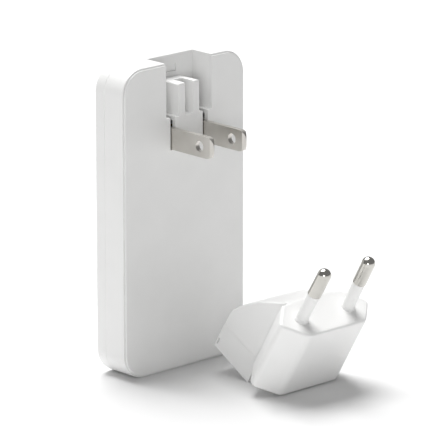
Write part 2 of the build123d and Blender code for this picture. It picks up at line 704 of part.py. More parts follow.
os.makedirs("parts", exist_ok=True)
for name, piece in nodes.items():
    export_step(piece, "parts/" + name + ".step")
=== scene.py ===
"""Looks of a flat USB wall charger with folding flat prongs, and of its loose round-pin plug adapter.

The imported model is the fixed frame. Each sub-assembly is a class that holds its sizes in millimetres,
builds its own meshes round the frame and dresses them. Sizes become metres as a piece is finished.
"""
import json
import logging
from dataclasses import dataclass, field
from enum import Enum
from math import atan2, cos, pi, radians, sin
from typing import Any, Callable, Iterable, Sequence

import bmesh
import bpy
from mathutils import Matrix, Vector


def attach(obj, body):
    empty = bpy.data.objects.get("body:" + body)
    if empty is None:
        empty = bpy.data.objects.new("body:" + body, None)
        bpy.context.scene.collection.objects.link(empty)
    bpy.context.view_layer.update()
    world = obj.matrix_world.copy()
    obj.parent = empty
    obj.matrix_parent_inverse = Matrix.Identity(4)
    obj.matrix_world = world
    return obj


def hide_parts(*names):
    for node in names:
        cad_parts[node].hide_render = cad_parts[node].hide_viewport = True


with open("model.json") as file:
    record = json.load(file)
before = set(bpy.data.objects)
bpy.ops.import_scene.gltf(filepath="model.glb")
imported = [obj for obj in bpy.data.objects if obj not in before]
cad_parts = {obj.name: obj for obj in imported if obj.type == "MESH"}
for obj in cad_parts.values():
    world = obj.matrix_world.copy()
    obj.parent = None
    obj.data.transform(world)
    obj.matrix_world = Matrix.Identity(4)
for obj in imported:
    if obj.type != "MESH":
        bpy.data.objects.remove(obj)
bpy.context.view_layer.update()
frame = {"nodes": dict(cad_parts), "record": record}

MM = 0.001
SIDES = {"left": -1, "right": 1}
SHARP = radians(28)
# how far a cutter reaches past a surface, and how far a joined shape reaches into the other, in millimetres
PAST = 1.0
BITE = 0.1
log = logging.getLogger("charger")

Limits = tuple[float, float]
Point = tuple[float, float]
Place = tuple[float, float, float]
Shape = bmesh.types.BMesh


# ---------------------------------------------------------------- finishes

class Surface(Enum):
    """How a surface was made, which decides the marks that it carries."""

    MOULDED = "even grain of a spark-eroded mould"
    DRAWN = "fine lines along the way the metal was drawn or rolled"
    WOUND = "side by side turns of wire or tape"
    WOVEN = "two crossing sets of threads"
    DIPPED = "slow waves of a dipped or glazed skin"


class Run(Enum):
    """The way that lines or turns run on a piece, as the axis they follow."""

    X = 0
    Y = 1
    Z = 2


def linear(colour: str) -> tuple[float, float, float, float]:
    """Turns an sRGB hex colour into linear light.

    Args:
        colour: six hex digits after a hash.

    Returns:
        Red, green, blue and alpha.
    """
    shares = [int(colour[i:i + 2], 16) / 255 for i in (1, 3, 5)]
    light = [c / 12.92 if c <= 0.04045 else ((c + 0.055) / 1.055) ** 2.4 for c in shares]
    return light[0], light[1], light[2], 1.0


def add_node(tree: bpy.types.NodeTree, kind: str, settings: dict[str, Any] | None = None,
             links: dict[str, Any] | None = None) -> bpy.types.Node:
    """Adds one node with its settings and its links.

    Args:
        tree: the node tree it joins.
        kind: the node's type name.
        settings: attributes, or input sockets by name, and their values.
        links: input sockets by name and the output sockets that feed them.

    Returns:
        The new node.
    """
    node = tree.nodes.new(kind)
    for name, value in (settings or {}).items():
        if name in node.inputs:
            node.inputs[name].default_value = value
        else:
            setattr(node, name, value)
    for name, source in (links or {}).items():
        tree.links.new(source, node.inputs[name])
    return node


@dataclass(frozen=True)
class Finish:
    """One real material: its colour, its gloss and the marks that its making left."""

    name: str
    colour: str
    shade: str
    surface: Surface
    grain: float
    depth: float
    roughness: float
    metallic: float = 0.0
    ior: float = 1.5
    coat: float = 0.0
    patch: float = 9.0
    spread: float = 0.05
    run: Run = Run.Z

    def pattern(self, tree: bpy.types.NodeTree, place: bpy.types.NodeSocket) -> bpy.types.NodeSocket:
        """Makes the height pattern of the surface.

        Args:
            tree: the material's nodes.
            place: the object coordinates.

        Returns:
            The socket that carries a height from 0 to 1.
        """
        per_metre = 1 / (self.grain * MM)
        if self.surface in (Surface.WOUND, Surface.WOVEN):
            # a wave's bands repeat every 2 pi / 20 of a unit at scale 1
            settings = {"bands_direction": self.run.name, "Scale": per_metre * pi / 10, "Distortion": 0.0}
            bands = add_node(tree, "ShaderNodeTexWave", settings, {"Vector": place})
            if self.surface is Surface.WOUND:
                return bands.outputs["Fac"]
            crossing = Run.X if self.run is not Run.X else Run.Z
            weft = add_node(tree, "ShaderNodeTexWave", settings | {"bands_direction": crossing.name},
                            {"Vector": place})
            over = add_node(tree, "ShaderNodeMath", {"operation": "MULTIPLY"})
            tree.links.new(bands.outputs["Fac"], over.inputs[0])
            tree.links.new(weft.outputs["Fac"], over.inputs[1])
            return over.outputs[0]
        stretch = [1.0, 1.0, 1.0]
        if self.surface is Surface.DRAWN:
            stretch[self.run.value] = 0.04
        mapped = add_node(tree, "ShaderNodeMapping", {"Scale": stretch}, {"Vector": place})
        octaves = 0.0 if self.surface is Surface.DIPPED else 3.0
        settings = {"Scale": per_metre, "Detail": octaves, "Roughness": 0.55}
        noise = add_node(tree, "ShaderNodeTexNoise", settings, {"Vector": mapped.outputs["Vector"]})
        return noise.outputs["Fac"]

    def make(self) -> bpy.types.Material:
        """Builds the node material once and hands back the same one afterwards."""
        known = bpy.data.materials.get(self.name)
        if known:
            return known
        material = bpy.data.materials.new(self.name)
        material.use_nodes = True
        tree = material.node_tree
        tree.nodes.clear()
        place = add_node(tree, "ShaderNodeTexCoord").outputs["Object"]
        height = self.pattern(tree, place)
        clouds = add_node(tree, "ShaderNodeTexNoise", {"Scale": 1 / (self.patch * MM), "Detail": 2.0},
                          {"Vector": place})
        share = add_node(tree, "ShaderNodeMapRange", {"From Min": 0.35, "From Max": 0.65},
                         {"Value": clouds.outputs["Fac"]})
        tint = add_node(tree, "ShaderNodeMix", {"data_type": "RGBA"})
        tree.links.new(share.outputs["Result"], tint.inputs[0])
        tint.inputs[6].default_value = linear(self.colour)
        tint.inputs[7].default_value = linear(self.shade)
        gloss = add_node(tree, "ShaderNodeMapRange", {
            "From Min": 0.3, "From Max": 0.7,
            "To Min": max(0.02, self.roughness - self.spread), "To Max": self.roughness + self.spread,
        }, {"Value": height})
        relief = add_node(tree, "ShaderNodeBump", {"Strength": 1.0, "Distance": self.depth * MM},
                          {"Height": height})
        settings: dict[str, Any] = {"Metallic": self.metallic, "Coat Weight": self.coat,
                                    "Coat Roughness": 0.12}
        if not self.metallic:
            settings["IOR"] = self.ior
        shader = add_node(tree, "ShaderNodeBsdfPrincipled", settings, {
            "Base Color": tint.outputs[2], "Roughness": gloss.outputs["Result"],
            "Normal": relief.outputs["Normal"],
        })
        add_node(tree, "ShaderNodeOutputMaterial", None, {"Surface": shader.outputs["BSDF"]})
        return material


# The grain of a mould is under 0.1 mm, too fine to show: on the casing it is drawn at 0.5 mm and shallow.
FINISHES = {
    # moulded polycarbonate, satin from the mould: near white, soft wide highlights
    "white_casing": Finish("moulded_polycarbonate_casing", "#f6f6f5", "#f4f4f3", Surface.MOULDED,
                           0.5, 0.004, 0.36, ior=1.585),
    # the same plastic from another tool, a touch greyer
    "white_plate": Finish("moulded_polycarbonate_plate", "#f4f4f3", "#f2f2f1", Surface.MOULDED,
                          0.5, 0.004, 0.40, ior=1.585),
    # the adapter's plastic: whiter and a little glossier
    "white_adapter": Finish("moulded_polycarbonate_adapter", "#fafaf9", "#f8f8f7", Surface.MOULDED,
                            0.5, 0.003, 0.33, ior=1.585),
    # rolled and nickel plated brass: warm grey, brushed along the prong
    "nickel_blade": Finish("nickel_plated_brass_sheet", "#d3d0cb", "#cac7c1", Surface.DRAWN,
                           0.35, 0.004, 0.34, metallic=1.0, run=Run.Y),
    # turned, drawn and nickel plated brass: bright, faintly warm
    "nickel_pin": Finish("nickel_plated_brass_rod", "#d2d0cb", "#c8c6c0", Surface.DRAWN,
                         0.45, 0.002, 0.17, metallic=1.0, run=Run.Z, spread=0.04),
    # glass-filled nylon: near black, dull, slightly mottled by the glass
    "black_moulding": Finish("glass_filled_nylon", "#232325", "#1b1b1d", Surface.MOULDED,
                             0.3, 0.01, 0.55, ior=1.53),
    # rolled phosphor bronze: reddish gold spring sheet
    "spring_metal": Finish("phosphor_bronze_sheet", "#c79a62", "#b78a55", Surface.DRAWN,
                           0.25, 0.003, 0.3, metallic=1.0),
    # glass-epoxy board under green solder resist: the cloth's 0.5 mm weave shows through the gloss
    "board_green": Finish("solder_resist_on_glass_epoxy", "#1f6b3a", "#1a5f33", Surface.WOVEN,
                          0.5, 0.006, 0.3, ior=1.55, coat=0.3),
    # sintered ferrite: dark grey, dull and slightly pitted
    "ferrite": Finish("sintered_ferrite", "#3b3b3d", "#323234", Surface.MOULDED, 0.4, 0.02, 0.6, ior=2.0),
    # moulded phenolic bobbin: black with a dull shine
    "bobbin_plastic": Finish("moulded_phenolic", "#2a2826", "#232120", Surface.MOULDED,
                             0.3, 0.008, 0.45, ior=1.6),
    # polyester tape over the winding: yellow, its laps show as soft ridges
    "winding_tape": Finish("polyester_winding_tape", "#d9b52c", "#cda824", Surface.WOUND,
                           1.9, 0.05, 0.28, ior=1.64, coat=0.2, run=Run.Z),
    # enamelled copper wire: turn beside turn, clear varnish over red metal
    "copper_wire": Finish("enamelled_copper_wire", "#c4683c", "#b35c34", Surface.WOUND,
                          0.6, 0.15, 0.25, metallic=1.0, coat=0.5, run=Run.Z),
    # shrink sleeve on an aluminium can: near black with a blue cast, glossy
    "can_sleeve": Finish("pvc_shrink_sleeve", "#252a38", "#20242f", Surface.DIPPED,
                         2.5, 0.01, 0.22, ior=1.53, coat=0.3),
    # transfer moulded epoxy of the chips: charcoal, eroded finish
    "chip_black": Finish("moulded_epoxy_package", "#2b2b2c", "#252526", Surface.MOULDED,
                         0.25, 0.006, 0.5, ior=1.55),
    # yellow boxed film capacitor: cast resin, slightly wavy
    "film_cap": Finish("moulded_capacitor_case", "#e0b038", "#d6a631", Surface.DIPPED,
                       2.0, 0.01, 0.35, ior=1.5),
    # epoxy-dipped ceramic disc: blue, glossy, uneven skin
    "disc_blue": Finish("dipped_epoxy_skin", "#2f6fc0", "#2864b2", Surface.DIPPED, 1.2, 0.04, 0.25, ior=1.55),
    # glazed ceramic tube of the fuse: off-white
    "fuse_glass": Finish("glazed_ceramic_tube", "#dedad0", "#d4d0c5", Surface.DIPPED,
                         1.5, 0.01, 0.2, ior=1.6, coat=0.4),
    # deep-drawn, nickel plated steel of the port shells: cool grey
    "port_steel": Finish("nickel_plated_steel_shell", "#bfc0c2", "#b4b5b7", Surface.DRAWN,
                         0.3, 0.003, 0.28, metallic=1.0, run=Run.Z),
    # black nylon tongue of the ports
    "port_plastic": Finish("port_tongue_nylon", "#26262a", "#202024", Surface.MOULDED,
                           0.25, 0.006, 0.42, ior=1.53),
    # gold flash over nickel on the contacts
    "gold_contact": Finish("gold_flashed_contact", "#e3b85c", "#d8ad52", Surface.DRAWN,
                           0.2, 0.002, 0.22, metallic=1.0),
    # rolled aluminium heat spreader: pale, lines along the roll
    "aluminium_sheet": Finish("rolled_aluminium_sheet", "#d0d2d5", "#c4c6c9", Surface.DRAWN,
                              0.4, 0.005, 0.38, metallic=1.0),
    # soft silicone pad: blue-grey, dull, slightly lumpy
    "thermal_silicone": Finish("thermal_silicone_pad", "#a9b4c2", "#a0abb9", Surface.DIPPED,
                               1.5, 0.05, 0.7, ior=1.41),
    # aramid paper film: buff, its fibres show as a fine weave
    "clear_film": Finish("aramid_insulating_paper", "#d9d2bf", "#cfc8b3", Surface.WOVEN,
                         0.4, 0.01, 0.6, ior=1.5),
}
FINISHES_BY_NODE = {part["node"]: FINISHES[part["material_slot"]] for part in frame["record"]["subparts"]}


def dress(piece: bpy.types.Object, finish: Finish) -> None:
    """Gives a piece one finish and no other."""
    piece.data.materials.clear()
    piece.data.materials.append(finish.make())


def dress_frame() -> None:
    """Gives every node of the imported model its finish."""
    for name, node in frame["nodes"].items():
        dress(node, FINISHES_BY_NODE[name])


# ---------------------------------------------------------------- shaping

def ring_of(shape: Shape, points: Iterable[Place]) -> list[bmesh.types.BMEdge]:
    """Lays a closed ring of edges through points.

    Args:
        shape: the shape it joins.
        points: the ring's points in order, in millimetres.

    Returns:
        The ring's edges.
    """
    corners = [shape.verts.new(point) for point in points]
    return [shape.edges.new((a, b)) for a, b in zip(corners, corners[1:] + corners[:1])]


def lofted(shape: Shape, rings: Sequence[list[bmesh.types.BMEdge]]) -> Shape:
    """Joins rings one after another and closes the two ends.

    Args:
        shape: the shape that holds the rings.
        rings: the rings in order, with as many edges each.

    Returns:
        The same shape, closed.
    """
    for near, far in zip(rings, rings[1:]):
        bmesh.ops.bridge_loops(shape, edges=near + far)
    for ring in (rings[0], rings[-1]):
        bmesh.ops.contextual_create(shape, geom=ring)
    bmesh.ops.recalc_face_normals(shape, faces=shape.faces)
    return shape


def block(x: Limits, y: Limits, z: Limits) -> Shape:
    """A block between three pairs of limits."""
    shape = bmesh.new()
    bmesh.ops.create_cube(shape, size=1.0)
    bmesh.ops.scale(shape, vec=(x[1] - x[0], y[1] - y[0], z[1] - z[0]), verts=shape.verts)
    bmesh.ops.translate(shape, vec=[(low + high) / 2 for low, high in (x, y, z)], verts=shape.verts)
    return shape


def about(centre: float, width: float) -> Limits:
    """The two limits of a width about a centre."""
    return centre - width / 2, centre + width / 2


def between(one: float, other: float) -> Limits:
    """Two values as limits, whichever comes first."""
    return min(one, other), max(one, other)


def placed(shape: Shape, move: Matrix) -> Shape:
    """Moves a shape and hands it back."""
    bmesh.ops.transform(shape, matrix=move, verts=shape.verts)
    return shape


def carried(shape: Shape, way: Place) -> Shape:
    """Carries a shape's only face along a way, which makes the shape solid."""
    grown = bmesh.ops.extrude_face_region(shape, geom=list(shape.faces), use_keep_orig=True)
    far_side = [vert for vert in grown["geom"] if isinstance(vert, bmesh.types.BMVert)]
    bmesh.ops.translate(shape, vec=way, verts=far_side)
    bmesh.ops.recalc_face_normals(shape, faces=shape.faces)
    return shape


def slab(outline: Sequence[Point], y: Limits, corner: float = 0.0, segments: int = 16) -> Shape:
    """Carries an outline in the XZ plane from one depth to another.

    Args:
        outline: the corners in order.
        y: the two depths.
        corner: how far each corner's rounding starts from it.
        segments: facets of a rounded corner.

    Returns:
        The closed shape.
    """
    shape = bmesh.new()
    face = shape.faces.new([shape.verts.new((px, y[0], pz)) for px, pz in outline])
    if corner:
        bmesh.ops.bevel(shape, geom=list(face.verts), offset=corner, offset_type="OFFSET", segments=segments,
                        profile=0.5, affect="VERTICES", material=-1)
    return carried(shape, (0, y[1] - y[0], 0))


def upright(outline: Sequence[Point], z: Limits, corner: float = 0.0, segments: int = 8) -> Shape:
    """Carries an outline in the XY plane from one height to another, as slab does in depth."""
    shape = slab([(px, -py) for px, py in outline], z, corner, segments)
    bmesh.ops.rotate(shape, cent=(0, 0, 0), matrix=Matrix.Rotation(pi / 2, 3, "X"), verts=shape.verts)
    return shape


def rectangle(x: Limits, z: Limits) -> list[Point]:
    """The four corners of a rectangle in the XZ plane."""
    return [(x[0], z[0]), (x[1], z[0]), (x[1], z[1]), (x[0], z[1])]


def rounded_corners(points: Sequence[Point], radii: Sequence[float], before: Point, after: Point,
                    facets: int = 6) -> list[Point]:
    """Rounds the corners of an open line, with as many points for every radius.

    Args:
        points: the corners.
        radii: one radius for each.
        before: the point that leads to the first corner.
        after: the point that the last corner leads to.
        facets: facets of each corner.

    Returns:
        The rounded line's points.
    """
    line = [Vector(p) for p in (before, *points, after)]
    result = []
    for here, radius, last, following in zip(line[1:-1], radii, line, line[2:]):
        back, on = (last - here).normalized(), (following - here).normalized()
        half_angle = back.angle(on, pi) / 2
        reach = radius * abs(cos(half_angle) / max(1e-3, sin(half_angle)))
        start, end = here + back * reach, here + on * reach
        for i in range(facets + 1):
            t = i / facets
            bent = start * (1 - t) ** 2 + here * 2 * t * (1 - t) + end * t ** 2
            result.append((bent.x, bent.y))
    return result


def turned(profile: Sequence[Point], steps: int = 48) -> Shape:
    """Turns a profile round the Z axis, as on a lathe.

    Args:
        profile: (radius, height) points from the bottom to the top.
        steps: facets round.

    Returns:
        The closed shape.
    """
    shape = bmesh.new()
    line = [shape.verts.new((radius, 0, height)) for radius, height in profile]
    edges = [shape.edges.new(pair) for pair in zip(line, line[1:])]
    bmesh.ops.spin(shape, geom=line + edges, cent=(0, 0, 0), axis=(0, 0, 1), angle=2 * pi, steps=steps,
                   use_merge=True)
    bmesh.ops.remove_doubles(shape, verts=shape.verts, dist=1e-4)
    bmesh.ops.recalc_face_normals(shape, faces=shape.faces)
    return shape


def round_bar(radius: float, z: Limits, steps: int = 48) -> Shape:
    """A round bar on the Z axis between two limits."""
    return turned([(0, z[0]), (radius, z[0]), (radius, z[1]), (0, z[1])], steps)


def rod(radius: float, x: Limits, y: float, z: float) -> Shape:
    """A round bar along X between two limits."""
    return placed(round_bar(radius, x), Matrix.Translation((0, y, z)) @ Matrix.Rotation(pi / 2, 4, "Y"))


def round_edges(shape: Shape, radius: float, chosen: Callable[[bmesh.types.BMEdge], bool],
                segments: int = 5) -> Shape:
    """Rounds the chosen edges of a shape.

    Args:
        shape: the shape to work on.
        radius: the rounding's radius.
        chosen: tells whether an edge is rounded.
        segments: facets across the rounding.

    Returns:
        The same shape.
    """
    edges = [edge for edge in shape.edges if chosen(edge)]
    bmesh.ops.bevel(shape, geom=edges, offset=radius, offset_type="OFFSET", segments=segments, profile=0.5,
                    affect="EDGES", material=-1)
    return shape


def lies_at(axis: int, value: float) -> Callable[[bmesh.types.BMEdge], bool]:
    """A test for edges that lie wholly in one plane across an axis."""
    return lambda edge: all(abs(vert.co[axis] - value) < 1e-3 for vert in edge.verts)


def together(*shapes: Shape) -> Shape:
    """Puts separate shapes into one, each as it is."""
    whole = bmesh.new()
    for shape in shapes:
        mesh = bpy.data.meshes.new("one_of_many")
        shape.to_mesh(mesh)
        shape.free()
        whole.from_mesh(mesh)
        bpy.data.meshes.remove(mesh)
    return whole


class Blank:
    """A solid in the making, in millimetres: others are cut from it or joined to it before it is finished."""

    def __init__(self, shape: Shape) -> None:
        """Starts from one closed shape."""
        mesh = bpy.data.meshes.new("blank")
        shape.to_mesh(mesh)
        shape.free()
        self.piece = bpy.data.objects.new("blank", mesh)
        bpy.context.scene.collection.objects.link(self.piece)

    def work(self, tool: "Blank", operation: str) -> "Blank":
        """Cuts another blank away or joins it on, which uses it up.

        Args:
            tool: the other blank.
            operation: DIFFERENCE, UNION or INTERSECT.

        Returns:
            This blank.
        """
        step = self.piece.modifiers.new("work", "BOOLEAN")
        step.operation = operation
        step.solver = "EXACT"
        step.object = tool.piece
        seen = self.piece.evaluated_get(bpy.context.evaluated_depsgraph_get())
        worked = bpy.data.meshes.new_from_object(seen)
        self.piece.modifiers.clear()
        self.piece.data = worked
        bpy.data.objects.remove(tool.piece)
        return self

    def cut(self, *shapes: Shape) -> "Blank":
        """Cuts shapes away."""
        for shape in shapes:
            self.work(Blank(shape), "DIFFERENCE")
        return self

    def join(self, *shapes: Shape) -> "Blank":
        """Joins shapes on."""
        for shape in shapes:
            self.work(Blank(shape), "UNION")
        return self

    def subtract(self, tool: "Blank") -> "Blank":
        """Cuts away a blank that was itself cut or joined."""
        return self.work(tool, "DIFFERENCE")

    def merge(self, tool: "Blank") -> "Blank":
        """Joins on a blank that was itself cut or joined."""
        return self.work(tool, "UNION")

    def finish(self, name: str, body: str, nodes: Sequence[str], slot: str, softened: float = 0.12,
               laid: Matrix | None = None, segments: int = 3) -> bpy.types.Object:
        """Turns the blank into a finished piece in its place.

        Args:
            name: the piece's name.
            body: the CAD body it moves with.
            nodes: the CAD nodes it stands for.
            slot: the record's material slot.
            softened: radius that its sharp edges are worn to, in millimetres.
            laid: the move from where it was modelled to where it is, in millimetres.
            segments: facets across a softened edge.

        Returns:
            The piece.
        """
        piece = self.piece
        piece.name = piece.data.name = name
        piece.data.transform(Matrix.Diagonal((MM, MM, MM, 1)) @ (laid or Matrix.Identity(4)))
        for face in piece.data.polygons:
            face.use_smooth = True
        piece.data.set_sharp_from_angle(angle=SHARP)
        if softened:
            edge = piece.modifiers.new("softened_edges", "BEVEL")
            edge.width = softened * MM
            edge.segments = segments
            edge.limit_method = "ANGLE"
            edge.angle_limit = SHARP
            edge.use_clamp_overlap = True
            edge.harden_normals = False
        weighted = piece.modifiers.new("even_shading", "WEIGHTED_NORMAL")
        weighted.keep_sharp = True
        dress(piece, FINISHES[slot])
        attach(piece, body)
        if nodes:
            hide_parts(*nodes)
        log.info("built %s on %s", name, body)
        return piece


# ---------------------------------------------------------------- round-pin adapter

@dataclass
class PlugAdapter:
    """Loose adapter: hexagonal plug, sloping block, tongue for the notch, and two sleeved round pins.

    It is modelled seated on the charger's back and then laid down on the floor behind it.
    """

    centre: float = 1.63
    seat: float = -6.45
    length: float = 24.1
    hex_middle: float = 68.55
    half_width: float = 18.0
    half_height: float = 6.7
    block_half: float = 9.0
    # depth behind the face, and height of the block's top over the hexagon's flat
    rise: tuple[Point, ...] = ((0.0, 0.3), (1.8, 2.0), (4.6, 5.5), (8.4, 9.85), (13.0, 13.55),
                               (16.2, 15.6), (18.2, 16.6), (19.6, 16.85), (24.1, 16.85))
    # the hexagon's lower, side and upper corners, then the block's foot and crest
    corner_radii: tuple[float, float, float] = (3.2, 1.9, 0.9)
    foot_radius: float = 2.1
    crest_radius: float = 0.9
    # the straight part of the skin: depth of its first section, pitch and number of sections
    stations: tuple[float, float, int] = (1.2, 1.1, 20)
    inner_corner: float = 0.8
    wall: float = 2.0
    block_wall: float = 1.2
    face_radius: float = 0.75
    rear_radius: float = 0.8
    cap_rim: float = 1.2
    cap_depth: float = 1.7
    cap_play: float = 0.02
    boss_radius: float = 3.2
    boss_length: float = 6.0
    tongue_half: float = 8.75
    tongue_inner: float = 1.8
    tongue_bottom: float = 75.9
    top: float = 92.1
    post_half: float = 4.15
    post_top: float = 85.55
    hood_start: float = 4.0
    rib_half: float = 1.3
    rib_depth: float = 3.0
    rear_plate: float = 1.6
    cover_play: float = 0.1
    blade_spacing: float = 12.7
    # width, outer depth and inner depth of the space round a blade
    pocket: tuple[float, float, float] = (3.0, -5.575, 1.15)
    pocket_top: float = 91.2
    pocket_mouth: Limits = (79.35, 85.35)
    # width, height, middle height and rise of the latch bump
    latch: tuple[float, float, float, float] = (4.8, 1.9, 87.9, 0.5)
    # start and end behind the seat, drop from the top, height and width of a side slit
    slit: tuple[float, float, float, float, float] = (5.0, 7.0, 0.7, 0.4, 1.6)
    pin_spacing: float = 18.6
    pin_tip_spacing: float = 17.5
    pin_length: float = 19.0
    pin_radius: float = 2.0
    core_radius: float = 1.5
    sleeve_radius: float = 1.83
    sleeve_length: float = 9.5
    sleeve_root: float = -3.0
    # radial step and height of the ring at a sleeve's foot, and of the groove and edge at its end
    sleeve_ring: tuple[Point, ...] = ((0.0, -0.3), (0.42, -0.02), (0.42, 0.25), (0.2, 0.5), (0.0, 0.85))
    sleeve_end: tuple[Point, ...] = ((0.0, -1.1), (-0.06, -0.95), (0.0, -0.8), (0.0, -0.1), (-0.1, 0.0))
    pin_tail: float = 9.0
    pin_dome: float = 1.95
    pin_straight: float = 2.2
    pin_edge: float = 0.12
    place_x: float = 11.0
    floor_edge: float = -46.4

    @property
    def face(self) -> float:
        """Depth of the pin face."""
        return self.seat - self.length

    def across(self, half: float) -> Limits:
        """The limits of a half width on both sides of the middle."""
        return self.centre - half, self.centre + half

    def laid(self) -> Matrix:
        """The move from the seat to the floor, in millimetres."""
        run = self.tongue_inner - self.seat
        drop = self.half_height + self.tongue_bottom - self.hex_middle
        turn = Matrix.Rotation(atan2(run, drop) - pi / 2, 4, "X")
        edge = turn @ Vector((self.centre, self.seat, self.hex_middle - self.half_height))
        shift = Vector((self.place_x, self.floor_edge, 0)) - edge
        return Matrix.Translation(shift) @ turn

    def height_at(self, depth: float) -> float:
        """How far the block's top stands over the hexagon's flat, at a depth behind the face."""
        for (a, low), (b, high) in zip(self.rise, self.rise[1:]):
            if depth <= b:
                return low + (high - low) * (depth - a) / (b - a)
        return self.rise[-1][1]

    def section(self, y: float, inset: float = 0.0) -> list[Place]:
        """One cross-section of the shell: the hexagon with the block on its back.

        Args:
            y: the section's depth.
            inset: how far its outline is drawn in.

        Returns:
            Points round the section, as many for every depth.
        """
        height = self.height_at(max(0.0, y - self.face))
        side = self.half_width - inset * 2 ** 0.5
        flat = self.half_height - inset
        shoulder = side - flat
        block_side = self.block_half - inset
        top = max(flat + 0.02, self.half_height + height - inset)
        step = top - flat
        radii = [*self.corner_radii, min(self.foot_radius, step * 0.6), min(self.crest_radius, step * 0.35)]
        corners = [(shoulder, -flat), (side, 0.0), (shoulder, flat), (block_side, flat), (block_side, top)]
        right = rounded_corners(corners, radii, (-shoulder, -flat), (-block_side, top))
        ring = right + [(-px, pz) for px, pz in reversed(right)]
        return [(self.centre + px, y, self.hex_middle + pz) for px, pz in ring]

    def skin(self) -> Shape:
        """The shell's outer skin, lofted through its sections and closed at both ends."""
        shape = bmesh.new()
        steps = 4
        turns = [step / steps * pi / 2 for step in range(steps + 1)]
        near, far = self.face_radius, self.rear_radius
        first, pitch, count = self.stations
        stations = [(self.face + near * (1 - sin(t)), near * (1 - cos(t))) for t in turns]
        stations += [(self.face + first + pitch * i, 0.0) for i in range(count)]
        stations += [(self.seat - far * (1 - cos(t)), far * (1 - sin(t))) for t in reversed(turns)]
        stations = sorted({(round(y, 4), round(inset, 4)) for y, inset in stations})
        return lofted(shape, [ring_of(shape, self.section(y, inset)) for y, inset in stations])

    def hexagon(self, inset: float, y: Limits) -> Shape:
        """A hexagonal prism inside the shell's outline.

        Args:
            inset: how far its faces are drawn in.
            y: its two depths.

        Returns:
            The closed shape.
        """
        side = self.half_width - inset * 2 ** 0.5
        flat = self.half_height - inset
        shoulder = side - flat
        corners = [(side, 0), (shoulder, flat), (-shoulder, flat)]
        corners += [(-px, -pz) for px, pz in corners]
        outline = [(self.centre + px, self.hex_middle + pz) for px, pz in corners]
        return slab(outline, y, self.inner_corner, 6)

    def hood_space(self) -> Shape:
        """The hollow under the sloping block."""
        half = self.block_half - self.block_wall
        low, end = self.hex_middle, self.seat + PAST
        over = low + self.half_height - 1.5 * self.block_wall
        line = [(self.face + d + self.block_wall, over + h) for d, h in self.rise[2:-1]]
        profile = [(self.face + self.hood_start, low), *line, (end, self.top - self.block_wall), (end, low)]
        shape = bmesh.new()
        shape.faces.new([shape.verts.new((self.centre - half, py, pz)) for py, pz in profile])
        return carried(shape, (2 * half, 0, 0))

    def build_shell(self) -> None:
        """Builds the outer moulding, hollow and open at both ends."""
        shell = Blank(self.skin())
        shell.cut(self.hexagon(self.wall, (self.face - PAST, self.seat + PAST)),
                  self.hexagon(self.cap_rim, (self.face - PAST, self.face + self.cap_depth)),
                  self.hood_space())
        shell.finish("adapter_body", "adapter", ["adapter_shell"], "white_adapter", 0.0, self.laid())

    def pin_axis(self, sign: int) -> Matrix:
        """Place and lean of a pin: local +Z runs out of the pin face."""
        lean = atan2((self.pin_spacing - self.pin_tip_spacing) / 2, self.pin_length)
        base = Matrix.Translation((self.centre + sign * self.pin_spacing / 2, self.face, self.hex_middle))
        return base @ Matrix.Rotation(pi / 2, 4, "X") @ Matrix.Rotation(-sign * lean, 4, "Y")

    def build_cap(self) -> None:
        """Builds the hexagonal pin cap with a boss behind each pin."""
        cap = Blank(self.hexagon(self.cap_rim + self.cap_play, (self.face, self.face + self.cap_depth)))
        boss_z, hole_z = (-self.boss_length, -self.cap_depth / 2), (-self.boss_length - PAST, 2 * PAST)
        for sign in SIDES.values():
            axis = self.pin_axis(sign)
            cap.join(placed(round_bar(self.boss_radius, boss_z), axis))
            cap.cut(placed(round_bar(self.sleeve_radius + self.cap_play / 2, hole_z), axis))
        cap.finish("adapter_face_cap", "adapter", ["adapter_pin_cap"], "white_adapter", 0.0, self.laid())

    def build_pins(self) -> None:
        """Builds the two round pins and their insulating sleeves."""
        tip, tail, end = self.pin_length, -self.pin_tail, self.sleeve_length
        outer, bore = self.pin_radius, self.core_radius
        core = bore - self.cap_play
        angles = [i * pi / 20 for i in range(10)]
        dome = [(outer * cos(t), tip - self.pin_dome + self.pin_dome * sin(t)) for t in angles]
        pin_line = [(0, tail), (bore - 0.3, tail), (core, tail + 0.3), (core, end),
                    (outer - self.pin_edge, end), (outer, end + self.pin_edge),
                    (outer, tip - self.pin_straight), *dome, (0, tip)]
        edge, root = self.sleeve_radius, self.sleeve_root
        ring = [(edge + out, height) for out, height in self.sleeve_ring]
        rim = [(edge + out, end + height) for out, height in self.sleeve_end]
        sleeve_line = [(bore, root), (edge, root), *ring, *rim, (bore, end), (bore, root)]
        for side, sign in SIDES.items():
            place = self.laid() @ self.pin_axis(sign)
            for line, name, node, slot in ((pin_line, "round_pin", "eu_pin", "nickel_pin"),
                                           (sleeve_line, "round_pin_sleeve", "pin_sleeve", "white_casing")):
                pin = Blank(turned(line, 64))
                pin.finish(f"{name}_{side}", "adapter", [f"{node}_{side}"], slot, 0.0, place)

